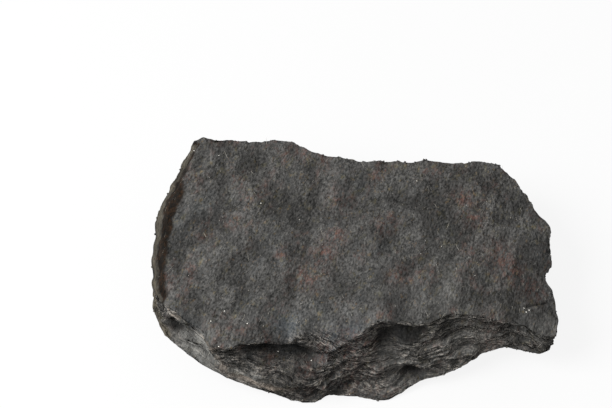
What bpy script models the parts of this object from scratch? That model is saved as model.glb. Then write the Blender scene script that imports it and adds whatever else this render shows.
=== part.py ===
"""A hand specimen of navajoite ore: one flat slab of dark vanadium-bearing sandstone.

The slab broke along its bedding above and below and across it at the sides, so the top and
the underside are broad faces, and the side walls show the ends of the beds as torn ledges.
Lengths are in millimetres and the mesh is in metres. +X runs along the slab, +Y to its back.
"""

import itertools

import bmesh
import bpy
import numpy as np

MM = 0.001

# The height of the middle of the top face above the surface that the slab rests on
TOP_HEIGHT = 17.3

# Stations round the slab, each a section through its side wall, counter-clockwise from above:
# rim x, rim y, foot x, foot y, foot z. Each list starts at a corner of the slab.
FRONT = [
    (-28.1, -22.3, -25.8, -22.0, 4.9),
    (-24.1, -23.1, -21.9, -22.8, 3.3),
    (-22.0, -22.3, -19.4, -23.5, 2.5),
    (-17.9, -22.1, -16.6, -24.0, 1.7),
    (-14.3, -22.2, -14.3, -24.5, 0.8),
    (-9.2, -22.7, -10.2, -25.3, 0.0),
    (-6.6, -22.0, -7.6, -24.9, 0.0),
    (-3.7, -20.7, -4.9, -23.7, 0.6),
    (0.5, -19.2, 0.3, -24.0, 0.6),
    (3.5, -17.6, 3.7, -24.4, 0.0),
    (5.8, -17.7, 6.5, -24.5, 0.0),
    (10.7, -18.2, 10.4, -23.0, 1.0),
    (13.3, -17.4, 13.1, -22.4, 1.9),
    (18.4, -15.0, 18.2, -20.3, 3.3),
    (21.2, -14.9, 20.8, -19.3, 3.9),
    (24.0, -14.8, 23.6, -17.9, 4.5),
    (25.8, -14.9, 25.0, -16.7, 4.8),
    (31.1, -15.2, 29.5, -15.9, 5.4),
    (36.7, -16.8, 36.1, -17.8, 6.2),
]
RIGHT = [
    (38.7, -16.3, 38.1, -17.1, 6.6),
    (39.6, -12.1, 38.4, -12.0, 6.8),
    (38.9, -6.9, 37.4, -6.6, 6.2),
    (37.6, -4.0, 36.6, -4.0, 5.8),
    (39.3, -1.1, 37.0, -0.8, 5.4),
    (39.2, 3.6, 37.4, 4.0, 5.0),
    (39.6, 7.5, 37.8, 8.4, 4.8),
    (37.0, 11.1, 36.4, 12.4, 4.4),
    (33.4, 17.7, 33.5, 18.8, 3.6),
]
BACK = [
    (29.8, 21.5, 30.4, 22.8, 3.0),
    (25.5, 21.9, 25.8, 24.4, 2.2),
    (20.9, 20.6, 20.6, 24.0, 1.4),
    (14.6, 21.3, 14.2, 24.6, 0.6),
    (3.4, 20.9, 3.6, 25.2, 0.0),
    (-2.7, 22.0, -3.0, 24.8, 0.0),
    (-8.5, 23.2, -8.8, 25.4, 0.4),
    (-12.4, 26.1, -12.4, 27.2, 1.0),
    (-16.6, 26.4, -16.6, 27.5, 1.6),
    (-21.1, 25.8, -20.6, 27.6, 2.2),
    (-27.0, 26.3, -25.6, 27.6, 3.4),
]
LEFT = [
    (-32.8, 27.2, -30.6, 26.4, 5.0),
    (-35.0, 22.0, -33.2, 22.0, 6.2),
    (-38.0, 14.9, -36.2, 15.0, 7.2),
    (-40.0, 7.5, -38.0, 7.4, 8.0),
    (-39.9, -1.5, -39.0, -1.6, 8.6),
    (-39.8, -6.2, -39.3, -5.6, 9.4),
    (-38.8, -9.9, -39.8, -9.5, 9.6),
    (-35.2, -14.4, -37.2, -15.0, 8.6),
    (-32.4, -17.2, -34.3, -17.1, 7.5),
    (-29.9, -19.3, -30.4, -19.8, 6.0),
]
SIDES = (FRONT, RIGHT, BACK, LEFT)
# How far the outline bends as a curve between stations: 0 is straight chords, 1 a full spline
OUTLINE_CURVE = 0.35

# The grid of the two broad faces, in cells, which get this much narrower towards the rim
CELLS_ALONG, CELLS_ACROSS = 40, 24
RIM_FINENESS = 0.55

# The beds that show in the side walls, by their share of its height. Each stands proud or lies
# back, in patches with sharp ends, and a tread this wide, in beds, joins it to the next.
BED_SHARES = (1.0, 1.5, 0.8, 1.7, 0.9, 1.3, 0.7, 1.6, 1.2)
TREAD = 0.12
BED_STEP, BED_REACH, BED_CRISPNESS = 0.75, 7.5, 2.2
# How far apart in the noise two beds are, so that their steps aren't alike
BED_SEED = 3.7
# Shells of stone broke out of the wall and left ridges between them
SHELL_DEPTH, SHELL_SIZE = 2.0, 9.0
RIM_CHIP, RIM_CHIP_SIZE = 0.35, 3.5

# The right end of the top face falls away beyond a low ridge, and most at the front nose
RIDGE_X, RIDGE_SOFTNESS, RIGHT_SLOPE = 20.0, 2.5, 0.235
NOSE_START, NOSE_LENGTH, NOSE_SLOPE = 18.0, 14.0, 0.12
# The front edge rolls over between the two hollows
ROLL_X, ROLL_HALF_WIDTH, ROLL_Y, ROLL_RATE = -5.0, 7.5, -14.5, 0.10
# A bed that is broken off along the left end leaves a scarp above a narrow ledge, which slopes
LEDGE_DROP, LEDGE_WIDTH, SCARP_WIDTH, LEDGE_FALL = 2.2, 0.9, 2.0, 0.9
LEDGE_START, LEDGE_END = 0.04, 0.68
# Low waves cross the top face, bent by a slow drift, and a finer unevenness covers it
WAVE_HEIGHT, WAVE_LENGTH, WAVE_HEADING, WAVE_DRIFT = 0.08, 8.5, (0.80, -0.60), 16.0
TOP_LUMP, TOP_LUMP_SIZE = 0.22, 7.0
# Scabs of a thin bed are left on the top face
SCAB_HEIGHT, SCAB_SIZE, SCAB_LEVEL, SCAB_EDGE = 0.24, 11.0, 0.05, 0.12
# The underside rises from its flat spot to the foot, within this distance of it, bed by bed
# with uneven edges
UNDERSIDE_REACH, FOOT_REACH = 13.0, 2.5
UNDER_BED, RISER_SHARE, EDGE_WANDER, EDGE_SIZE = 1.7, 0.35, 0.55, 6.0
# Patches of the lowest bed came off it
PATCH_DEPTH, PATCH_SIZE, PATCH_LEVEL, PATCH_EDGE = 0.9, 12.0, 0.22, 0.10

# Hollows and bumps: centre, radii, and the way and distance that the stone is pushed there
HOLLOWS = {
    "recess under the front lip": ((-16.8, -22.2, 13.4), (7.2, 5.5, 2.4), (0.3, 4.8, -0.3)),
    "lower end of the recess": ((-10.5, -22.4, 11.6), (4.8, 5.0, 1.7), (0.0, 2.4, -0.4)),
    "dip that leads to the recess": ((-13.5, -20.4, 17.0), (3.6, 3.4, 4.0), (0.0, 0.0, -0.9)),
    "shelf below the recess": ((-13.0, -24.0, 7.6), (9.5, 5.0, 3.4), (0.0, -1.3, 0.3)),
    "pit in the front edge": ((5.4, -19.6, 13.4), (2.6, 4.6, 3.2), (0.2, 3.8, -1.2)),
    "slot beside the pit": ((10.4, -19.0, 15.0), (3.4, 3.4, 1.6), (0.0, 2.2, -0.8)),
    "middle of the front": ((-4.4, -21.5, 6.5), (4.0, 4.0, 4.5), (0.0, -1.8, 0.3)),
    "edge between the front faces": ((4.6, -23.4, 8.4), (2.2, 4.0, 5.5), (0.0, -2.0, 0.0)),
    "hollow low on the front": ((11.6, -22.3, 3.6), (3.2, 4.4, 2.0), (-0.2, 2.8, 0.4)),
    "undercut at the lowest edge": ((-5.5, -24.8, 2.4), (3.6, 3.0, 1.4), (0.0, 1.2, 0.2)),
    "pocket in the left facet": ((-35.6, -15.4, 12.2), (2.0, 2.4, 1.7), (1.9, 1.6, -0.3)),
    "scoop in the back wall": ((9.0, 24.2, 11.5), (9.0, 4.4, 4.5), (0.0, -3.0, 0.2)),
    "ledge of the back wall": ((-14.0, 27.0, 6.6), (9.0, 4.0, 2.0), (0.0, 1.4, 0.3)),
    "spall at the back left": ((-29.0, 28.0, 7.0), (6.5, 5.0, 3.4), (1.2, -2.6, 0.0)),
    "step in the right end": ((40.0, 3.0, 9.0), (3.4, 7.0, 2.4), (-2.0, 0.0, 0.0)),
    "notch at the left": ((-39.5, 4.0, 11.6), (3.4, 5.0, 1.8), (1.8, 0.0, 0.0)),
}

ORE_COLOUR = (0.075, 0.072, 0.068, 1.0)
ORE_ROUGHNESS = 0.85

RANDOM = np.random.default_rng(12)
SHUFFLE = RANDOM.permutation(256)
SLOPES = RANDOM.normal(size=(256, 3))
SLOPES /= np.linalg.norm(SLOPES, axis=1, keepdims=True)
NOISE_GAIN = 1.7


def noise(points):
    """Gradient noise, from about -1 to 1, with bumps about one unit of the points across."""
    cell = np.floor(points).astype(int)
    part = points - cell
    fade = part**3 * (part * (part * 6 - 15) + 10)
    total = np.zeros(points.shape[:-1])
    for corner in itertools.product((0, 1), repeat=3):
        x, y, z = np.moveaxis((cell + corner) & 255, -1, 0)
        slope = SLOPES[SHUFFLE[(SHUFFLE[(SHUFFLE[x] + y) & 255] + z) & 255]]
        share = np.prod(np.where(corner, fade, 1 - fade), axis=-1)
        total += share * np.sum(slope * (part - corner), axis=-1)
    return NOISE_GAIN * total


def smooth(value):
    """0 below 0, 1 above 1, and a smooth step between."""
    value = np.clip(value, 0, 1)
    return value * value * (3 - 2 * value)


def ramp(value, softness):
    """0 well below 0, the value itself well above it, and a bend of this softness between."""
    return (value + np.sqrt(value**2 + softness**2)) / 2


def spacing(cells):
    """Shares from 0 to 1 at the cells' edges, closer together towards both ends."""
    even = np.linspace(0, 1, cells + 1)
    return even - RIM_FINENESS * np.sin(2 * np.pi * even) / (2 * np.pi)


def outline():
    """Sections round the slab: the stations' spline, sampled by length along the rim.

    Each side gets as many samples as the grid has cells along it, so the corners line up.
    """
    stations = np.array(sum(SIDES, []))
    count = len(stations)
    around = np.vstack([stations, stations[:1]])
    length = np.append(0, np.cumsum(np.linalg.norm(np.diff(around[:, :2], axis=0), axis=1)))
    corners = np.append(0, np.cumsum([len(side) for side in SIDES]))
    cells = (CELLS_ALONG, CELLS_ACROSS, CELLS_ALONG, CELLS_ACROSS)
    at = np.concatenate([
        length[start] + (length[end] - length[start]) * spacing(steps)[:-1]
        for start, end, steps in zip(corners[:-1], corners[1:], cells)
    ])
    place = np.interp(at, length, np.arange(count + 1))
    index = place.astype(int)
    t = (place - index)[:, None]
    before, here, after, beyond = (stations[(index + step) % count] for step in (-1, 0, 1, 2))
    straight = here + (after - here) * t
    spline = 0.5 * (
        2 * here
        + (after - before) * t
        + (2 * before - 5 * here + 4 * after - beyond) * t**2
        + (3 * here - before - 3 * after + beyond) * t**3
    )
    return straight + (spline - straight) * OUTLINE_CURVE


def outward(ring):
    """Level unit vectors that point out of the slab, square to the ring over a few samples."""
    chord = sum(np.roll(ring, -step, 0) - np.roll(ring, step, 0) for step in (1, 2))
    normal = np.stack([chord[:, 1], -chord[:, 0], np.zeros(len(ring))], axis=1)
    return normal / np.linalg.norm(normal, axis=1, keepdims=True)


def distance_to(ring, points):
    """Level distance from each point to the nearest point of the ring."""
    apart = points[..., None, :2] - ring[:, :2]
    return np.linalg.norm(apart, axis=-1).min(axis=-1)


def fill(ring):
    """A Coons patch: the grid that spans the four sides of the ring."""
    ends = np.cumsum((0, CELLS_ALONG, CELLS_ACROSS, CELLS_ALONG, CELLS_ACROSS))
    closed = np.vstack([ring, ring[:1]])
    front, right, back, left = (closed[a : b + 1] for a, b in zip(ends[:-1], ends[1:]))
    back, left = back[::-1], left[::-1]
    s = spacing(CELLS_ALONG)[None, :, None]
    t = spacing(CELLS_ACROSS)[:, None, None]
    between_long = (1 - t) * front[None] + t * back[None]
    between_short = (1 - s) * left[:, None] + s * right[:, None]
    between_corners = (1 - t) * ((1 - s) * front[0] + s * front[-1]) + t * (
        (1 - s) * back[0] + s * back[-1]
    )
    return between_long + between_short - between_corners


def top_height(points, left_rim):
    """Height of the top face: a plane less its falls, the ledge at the left, waves and lumps."""
    x, y = points[..., 0], points[..., 1]
    right = RIGHT_SLOPE * ramp(x - RIDGE_X, RIDGE_SOFTNESS)
    nose = NOSE_SLOPE * ramp(-y, RIDGE_SOFTNESS) * smooth((x - NOSE_START) / NOSE_LENGTH)
    roll = ROLL_RATE * ramp(ROLL_Y - y, 1) ** 2 * np.exp(-(((x - ROLL_X) / ROLL_HALF_WIDTH) ** 2))
    from_left = distance_to(left_rim, points)
    scarp = smooth((from_left - LEDGE_WIDTH) / SCARP_WIDTH)
    ledge = LEDGE_DROP * (1 - scarp) + LEDGE_FALL * smooth(1 - from_left / LEDGE_WIDTH)
    flat = np.stack([x, y, np.zeros_like(x)], axis=-1)
    along = (x * WAVE_HEADING[0] + y * WAVE_HEADING[1]) / WAVE_LENGTH
    wave = WAVE_HEIGHT * np.sin(2 * np.pi * (along + noise(flat / WAVE_DRIFT)))
    lump = TOP_LUMP * noise(flat / TOP_LUMP_SIZE)
    scab = SCAB_HEIGHT * smooth((noise(flat / SCAB_SIZE) - SCAB_LEVEL) / SCAB_EDGE)
    return TOP_HEIGHT - right - nose - roll - ledge + wave + lump + scab


def wall(rim, foot):
    """Rings from rim to foot: straight sections, then shells and each bed's own step in or out.

    Each bed has a ring near its top and one near its bottom, and a tread joins it to the next.
    The rim and the foot stay on the outline.
    """
    count = len(BED_SHARES)
    inside = [bed + edge for bed in range(count) for edge in (TREAD, 1 - TREAD)]
    place = np.array([0, *inside, count])
    bed = np.clip(place.astype(int), 0, count - 1)
    bounds = np.append(0, np.cumsum(BED_SHARES)) / sum(BED_SHARES)
    levels = np.interp(place, np.arange(count + 1), bounds)
    normal = outward((rim + foot) / 2)
    rings = rim + (foot - rim) * levels[:, None, None]
    bed_points = rings / BED_REACH
    bed_points[..., 2] = BED_SEED * bed[:, None]
    beds = BED_STEP * np.tanh(BED_CRISPNESS * noise(bed_points))
    shells = SHELL_DEPTH * np.abs(noise(rings / SHELL_SIZE))
    held = smooth(place) * smooth(count - place)
    return rings + normal * ((beds - shells) * held[:, None])[..., None]


def stepped(height):
    """The height in steps of a bed: a level tread, and a short riser where the next bed ends."""
    beds = height / UNDER_BED
    whole = np.floor(beds)
    riser = smooth((beds - whole - 0.5) / RISER_SHARE + 0.5)
    return UNDER_BED * (whole + riser)


def underside(foot):
    """The patch under the foot: it steps down to a flat spot, less the patches that came off."""
    points = fill(foot)
    inside = distance_to(foot, points)
    held = smooth(inside / FOOT_REACH)
    plain = points[..., 2] * (1 - smooth(inside / UNDERSIDE_REACH))
    steps = stepped(plain + EDGE_WANDER * noise(points / EDGE_SIZE))
    bare = smooth((noise(points / PATCH_SIZE) - PATCH_LEVEL) / PATCH_EDGE)
    points[..., 2] = plain + (steps - plain + PATCH_DEPTH * bare) * held
    return points


def hollow_out(points):
    """Pushes the stone in or out at each named hollow, by a bell of the distance from it."""
    for centre, radii, push in HOLLOWS.values():
        away = (points - centre) / radii
        points = points + np.exp(-np.sum(away**2, axis=-1))[..., None] * push
    return points


def slab_points():
    """Top grid, wall rings and bottom grid of the slab, resting on z = 0 with x and y centred."""
    sections = outline()
    rim = np.insert(sections[:, :2], 2, TOP_HEIGHT, axis=1)
    foot = sections[:, 2:].copy()
    rim += outward(rim) * (RIM_CHIP * noise(rim / RIM_CHIP_SIZE))[:, None]
    left_end = rim[2 * CELLS_ALONG + CELLS_ACROSS :]
    left_rim = left_end[int(LEDGE_START * CELLS_ACROSS) : int(LEDGE_END * CELLS_ACROSS)]
    rim[:, 2] = top_height(rim, left_rim)
    top = fill(rim)
    top[..., 2] = top_height(top, left_rim)
    rings = wall(rim, foot)
    bottom = underside(rings[-1])
    parts = [hollow_out(points) for points in (top, rings, bottom)]
    every = np.vstack([points.reshape(-1, 3) for points in parts])
    middle = (every[:, :2].min(axis=0) + every[:, :2].max(axis=0)) / 2
    for points in parts:
        points[..., :2] -= middle
        points[..., 2] = np.maximum(points[..., 2], 0)
    return parts


def border(grid):
    """The vertices round a grid, in the order of the rings."""
    return [*grid[0], *grid[1:, -1], *grid[-1, -2::-1], *grid[-2:0:-1, 0]]


def build_slab():
    """One closed mesh: the top grid, the rings bridged down the wall, and the bottom grid."""
    top, rings, bottom = slab_points()
    mesh = bmesh.new()

    def vertices(points):
        made = [mesh.verts.new(point * MM) for point in points.reshape(-1, 3)]
        return np.array(made, dtype=object).reshape(points.shape[:-1])

    upper, lower = vertices(top), vertices(bottom)
    loops = [border(upper), *vertices(rings[1:-1]), border(lower)]
    for grid, turn in ((upper, 1), (lower, -1)):
        corners = (grid[:-1, :-1], grid[:-1, 1:], grid[1:, 1:], grid[1:, :-1])
        for face in zip(*(corner.ravel() for corner in corners)):
            mesh.faces.new(face[::turn])
    for above, below in itertools.pairwise(loops):
        following = zip(above, below, np.roll(below, -1), np.roll(above, -1))
        for face in following:
            mesh.faces.new(face)
    data = bpy.data.meshes.new("navajoite_slab")
    mesh.to_mesh(data)
    mesh.free()
    return data


def ore_material():
    """Dull, nearly black sandstone."""
    material = bpy.data.materials.new("vanadium_ore")
    material.use_nodes = True
    shader = material.node_tree.nodes["Principled BSDF"]
    shader.inputs["Base Color"].default_value = ORE_COLOUR
    shader.inputs["Roughness"].default_value = ORE_ROUGHNESS
    return material


for old in list(bpy.data.objects):
    bpy.data.objects.remove(old)
slab = bpy.data.objects.new("navajoite_slab", build_slab())
slab.data.materials.append(ore_material())
bpy.context.scene.collection.objects.link(slab)
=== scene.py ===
"""The looks of a hand specimen of navajoite ore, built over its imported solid.

The stone comes first, then the sand grains, the quartz glints and the crystal fibres that sit in
its surface, then the pale floor, the soft light and the camera. Lengths in the text are in
millimetres, and meshes are made in metres.
"""

import itertools
import math

import bpy
import numpy as np
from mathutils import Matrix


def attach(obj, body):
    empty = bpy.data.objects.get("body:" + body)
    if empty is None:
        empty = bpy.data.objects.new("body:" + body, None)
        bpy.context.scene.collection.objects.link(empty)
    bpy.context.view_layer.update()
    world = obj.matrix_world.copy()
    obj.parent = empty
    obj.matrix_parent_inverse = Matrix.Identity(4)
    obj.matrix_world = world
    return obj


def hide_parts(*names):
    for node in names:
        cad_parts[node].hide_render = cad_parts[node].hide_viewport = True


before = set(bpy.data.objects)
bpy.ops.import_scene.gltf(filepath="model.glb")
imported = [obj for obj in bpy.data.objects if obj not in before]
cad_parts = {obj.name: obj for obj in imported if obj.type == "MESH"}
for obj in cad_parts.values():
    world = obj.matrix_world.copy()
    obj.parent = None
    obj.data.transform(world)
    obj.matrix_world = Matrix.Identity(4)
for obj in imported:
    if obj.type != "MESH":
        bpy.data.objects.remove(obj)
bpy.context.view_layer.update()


# The slab: one natural stone, a sandstone whose grains are cemented by dark vanadium minerals.
# It split along its bedding above and below, and broke across it at the sides, so the walls
# show the torn ends of the beds. Nothing was made or fixed: it lies on its underside.

MM = 0.001
TOP_HEIGHT = 17.3

# Sections through the side wall: rim x, rim y, foot x, foot y, foot z, counter-clockwise
FRONT = [
    (-28.1, -22.3, -25.8, -22.0, 4.9), (-24.1, -23.1, -21.9, -22.8, 3.3),
    (-22.0, -22.3, -19.4, -23.5, 2.5), (-17.9, -22.1, -16.6, -24.0, 1.7),
    (-14.3, -22.2, -14.3, -24.5, 0.8), (-9.2, -22.7, -10.2, -25.3, 0.0),
    (-6.6, -22.0, -7.6, -24.9, 0.0), (-3.7, -20.7, -4.9, -23.7, 0.6),
    (0.5, -19.2, 0.3, -24.0, 0.6), (3.5, -17.6, 3.7, -24.4, 0.0),
    (5.8, -17.7, 6.5, -24.5, 0.0), (10.7, -18.2, 10.4, -23.0, 1.0),
    (13.3, -17.4, 13.1, -22.4, 1.9), (18.4, -15.0, 18.2, -20.3, 3.3),
    (21.2, -14.9, 20.8, -19.3, 3.9), (24.0, -14.8, 23.6, -17.9, 4.5),
    (25.8, -14.9, 25.0, -16.7, 4.8), (31.1, -15.2, 29.5, -15.9, 5.4),
    (36.7, -16.8, 36.1, -17.8, 6.2),
]
RIGHT = [
    (38.7, -16.3, 38.1, -17.1, 6.6), (39.6, -12.1, 38.4, -12.0, 6.8),
    (38.9, -6.9, 37.4, -6.6, 6.2), (37.6, -4.0, 36.6, -4.0, 5.8),
    (39.3, -1.1, 37.0, -0.8, 5.4), (39.2, 3.6, 37.4, 4.0, 5.0),
    (39.6, 7.5, 37.8, 8.4, 4.8), (37.0, 11.1, 36.4, 12.4, 4.4),
    (33.4, 17.7, 33.5, 18.8, 3.6),
]
BACK = [
    (29.8, 21.5, 30.4, 22.8, 3.0), (25.5, 21.9, 25.8, 24.4, 2.2),
    (20.9, 20.6, 20.6, 24.0, 1.4), (14.6, 21.3, 14.2, 24.6, 0.6),
    (3.4, 20.9, 3.6, 25.2, 0.0), (-2.7, 22.0, -3.0, 24.8, 0.0),
    (-8.5, 23.2, -8.8, 25.4, 0.4), (-12.4, 26.1, -12.4, 27.2, 1.0),
    (-16.6, 26.4, -16.6, 27.5, 1.6), (-21.1, 25.8, -20.6, 27.6, 2.2),
    (-27.0, 26.3, -25.6, 27.6, 3.4),
]
LEFT = [
    (-32.8, 27.2, -30.6, 26.4, 5.0), (-35.0, 22.0, -33.2, 22.0, 6.2),
    (-38.0, 14.9, -36.2, 15.0, 7.2), (-40.0, 7.5, -38.0, 7.4, 8.0),
    (-39.9, -1.5, -39.0, -1.6, 8.6), (-39.8, -6.2, -39.3, -5.6, 9.4),
    (-38.8, -9.9, -39.8, -9.5, 9.6), (-35.2, -14.4, -37.2, -15.0, 8.6),
    (-32.4, -17.2, -34.3, -17.1, 7.5), (-29.9, -19.3, -30.4, -19.8, 6.0),
]
SIDES = (FRONT, RIGHT, BACK, LEFT)
OUTLINE_CURVE = 0.35

# Cells along and across the top face, which narrow towards the rim, and rings down the wall.
# The underside has half as many cells each way.
ALONG, ACROSS, RINGS = 220, 140, 78
RIM_FINENESS = 0.3

# Beds in the wall by their share of its height, and how they stand proud or lie back
BED_SHARES = (1.0, 1.5, 0.8, 1.7, 0.9, 1.3, 0.7, 1.6, 1.2)
TREAD = 0.12
BED_STEP, BED_REACH, BED_CRISPNESS, BED_SEED = 0.75, 7.5, 2.2, 3.7
SHELL_DEPTH, SHELL_SIZE = 2.0, 9.0
RIM_CHIP, RIM_CHIP_SIZE = 0.35, 3.5

# Falls, ledge, waves and scabs of the top face
RIDGE_X, RIDGE_SOFTNESS, RIGHT_SLOPE = 20.0, 2.5, 0.235
NOSE_START, NOSE_LENGTH, NOSE_SLOPE = 18.0, 14.0, 0.12
ROLL_X, ROLL_HALF_WIDTH, ROLL_Y, ROLL_RATE = -5.0, 7.5, -14.5, 0.10
LEDGE_DROP, LEDGE_WIDTH, SCARP_WIDTH, LEDGE_FALL = 2.2, 0.9, 2.0, 0.9
LEDGE_START, LEDGE_END = 0.04, 0.68
LEDGE_WANDER, LEDGE_WANDER_SIZE = 0.45, 2.2
WAVE_HEIGHT, WAVE_LENGTH, WAVE_HEADING, WAVE_DRIFT = 0.08, 8.5, (0.80, -0.60), 16.0
TOP_LUMP, TOP_LUMP_SIZE = 0.22, 7.0
SCAB_HEIGHT, SCAB_SIZE, SCAB_LEVEL, SCAB_EDGE = 0.24, 11.0, 0.05, 0.12

# Steps and bare patches of the underside
UNDERSIDE_REACH, FOOT_REACH = 13.0, 2.5
UNDER_BED, RISER_SHARE, RISER_WANDER, RISER_SIZE = 1.7, 0.35, 0.55, 6.0
PATCH_DEPTH, PATCH_SIZE, PATCH_LEVEL, PATCH_EDGE = 0.9, 12.0, 0.22, 0.10

# Hollows and bumps: centre, radii, the push, and how much shade is painted on the stone there.
# Those with no push only paint shade on the deepest part of another.
HOLLOWS = {
    "recess under the front lip": ((-16.8, -22.2, 13.4), (7.2, 5.5, 2.4), (0.3, 4.8, -0.3), 0.7),
    "lower end of the recess": ((-10.5, -22.4, 11.6), (4.8, 5.0, 1.7), (0, 2.4, -0.4), 0.7),
    "dip that leads to the recess": ((-13.5, -20.4, 17.0), (3.6, 3.4, 4.0), (0, 0, -0.9), 0.1),
    "shelf below the recess": ((-13.0, -24.0, 7.6), (9.5, 5.0, 3.4), (0, -1.3, 0.3), 0.4),
    "pit in the front edge": ((5.4, -19.6, 13.4), (2.6, 4.6, 3.2), (0.2, 3.8, -1.2), 0.3),
    "painted shade in the lower half of the pit": ((5.7, -17.3, 11.3), (2.8, 3.0, 2.4), (0, 0, 0), 0.3),
    "slot beside the pit": ((10.4, -19.0, 15.0), (3.4, 3.4, 1.6), (0, 2.2, -0.8), 1.5),
    "middle of the front": ((-4.4, -21.5, 6.5), (4.0, 4.0, 4.5), (0, -1.8, 0.3), 0),
    "edge between the front faces": ((4.6, -23.4, 8.4), (2.2, 4.0, 5.5), (0, -2.0, 0), 0),
    "hollow low on the front": ((11.6, -22.3, 3.6), (3.2, 4.4, 2.0), (-0.2, 2.8, 0.4), 0.9),
    "undercut at the lowest edge": ((-5.5, -24.8, 2.4), (3.6, 3.0, 1.4), (0, 1.2, 0.2), 0.5),
    "pocket in the left facet": ((-35.6, -15.4, 12.2), (2.0, 2.4, 1.7), (1.9, 1.6, -0.3), 0.85),
    "painted shade in the right end of the pit": ((9.8, -17.6, 13.3), (2.8, 3.0, 1.5), (0, 0, 0), 0.7),
    "painted shade in the heart of the pocket": ((-35.2, -13.9, 10.6), (1.5, 1.7, 1.4), (0, 0, 0), 0.5),
    "scoop in the back wall": ((9.0, 24.2, 11.5), (9.0, 4.4, 4.5), (0, -3.0, 0.2), 0.3),
    "ledge of the back wall": ((-14.0, 27.0, 6.6), (9.0, 4.0, 2.0), (0, 1.4, 0.3), 0),
    "spall at the back left": ((-29.0, 28.0, 7.0), (6.5, 5.0, 3.4), (1.2, -2.6, 0), 0.3),
    "step in the right end": ((40.0, 3.0, 9.0), (3.4, 7.0, 2.4), (-2.0, 0, 0), 0.3),
    "notch at the left": ((-39.5, 4.0, 11.6), (3.4, 5.0, 1.8), (1.8, 0, 0), 0.3),
}

# The middle of the slab's outline, which the part's origin lies under
MIDDLE = (-0.254, 1.430)

# How thick the beds are in all, the upright part of the normal under which a face is torn, with
# its range, and how torn the wall is even where it lies level, from a share of its height down
STONE_THICKNESS = 16.0
TORN_FROM, TORN_RANGE = 0.93, 0.40
LEDGE_TORN, RIM_BED = 0.6, 0.30
# The torn laminae, as lenses of noise: length, thickness, how deep the gap under one is, and how
# far its edge stands out. Then the noise values over which edge and gap reach.
LENSES = ((5.0, 1.2, 0.30, 0.14), (3.0, 0.60, 0.28, 0.13), (1.8, 0.40, 0.18, 0.09))
LENS_EDGE, LENS_GAP = 0.12, 0.30
# The beds drift, and sag right of the recess, less towards the back and with depth
WARP_SIZE, WARP = 9.0, 0.9
SAG_START, SAG_LENGTH, SAG = -15.0, 15.0, 14.0
SAG_BACK, SAG_DEPTH = 2.0, 12.0
# Where the sum of the shade painted in the hollows turns black, and over what range. There the
# stone is smooth, as it is near the left rim, and under the dust and painted light some of the
# gaps are filled.
PAINTED_SHADE_FROM, PAINTED_SHADE_RANGE = 0.18, 0.62
SMOOTH_IN_PAINTED_SHADE, SMOOTH_IN_DUST_AND_LIGHT = 0.8, 0.4
SMOOTH_LEFT, SMOOTH_LEFT_EDGE = 2.5, 1.5
# The grain of the split faces: size and height of its bumps, which are long along the streaks,
# its loss on torn walls, and the relief of grain and of laminae that counts as high
STREAK_HEADING, STREAK_STRETCH = (0.36, 0.933), 1.7
GRAIN = ((9.0, 0.09), (5.0, 0.10), (2.6, 0.13), (1.35, 0.10), (0.8, 0.07))
GRAIN_LOSS, HIGH_GRAIN, HIGH_TORN = 0.4, 0.5, 0.8
# The pale lamina low on the front: depth, half thickness, its ends, and how softly it ends
RIDGE_DEPTH, RIDGE_HALF, RIDGE_ENDS, RIDGE_END_Y = 13.6, 0.8, (-26.0, -11.0), -10.9
RIDGE_FADE, RIDGE_FADE_Y = 2.0, 1.2
# The pale torn edge round the left facet, partly a painted highlight along the ridge, from the
# ledge down to the foot of the front, and the bare edge below the facet. The first has lines
# along it, and is darker between them.
FACET_EDGE = (
    (-35.4, -15.8, 16.6), (-31.6, -18.5, 15.8), (-29.0, -20.8, 15.2), (-27.8, -23.2, 17.2),
    (-26.9, -24.2, 15.8), (-26.2, -22.8, 9.6), (-25.3, -23.4, 7.6), (-24.1, -23.7, 5.0),
)
FACET_FOOT = ((-39.4, -7.5, 11.0), (-39.3, -11.3, 10.2), (-38.0, -14.5, 9.8), (-36.4, -16.6, 9.0))
EDGE_HALF, EDGE_LINES, EDGE_WANDER, EDGE_WANDER_SIZE = 0.65, 0.62, 0.5, 2.4
EDGE_SOFTNESS, EDGE_CONTRAST = 0.4, 0.9
FOOT_HALF, FOOT_SOFTNESS = 0.9, 0.5
# The crack at the right end of the front: its two ends, half width, depth and painted shade
CRACK = ((33.6, -12.3), (37.6, -11.1))
CRACK_HALF, CRACK_DEPTH, CRACK_PAINTED_SHADE = 0.22, 0.3, 0.9
# The bare ledge: its width, a bell of y over a least width, and its laminae and the shade
# painted in their gaps
STRIP_WIDTH, STRIP_BULGE, STRIP_MIDDLE, STRIP_HALF = 1.05, 0.8, 4.5, 4.5
STRIP_LINES, STRIP_SOFTNESS, STRIP_GAP_SHADE = 0.55, 0.3, 0.6
# The near-black brown band on the scarp above it: its width, middle and half length, and those of its
# lobe
COAT_WIDTH, COAT_MIDDLE, COAT_HALF = 2.2, 3.0, 13.0
LOBE_WIDTH, LOBE_MIDDLE, LOBE_HALF = 1.3, 10.2, 3.2
COAT_LEAST, COAT_SOFTNESS = 0.4, 0.8
# Flakes that came off the top face: the sizes and depths of their steps, and the step's width
FLAKES = ((7.5, 0.17), (3.6, 0.12))
FLAKE_LEVEL, FLAKE_EDGE = 0.12, 0.10
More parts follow.
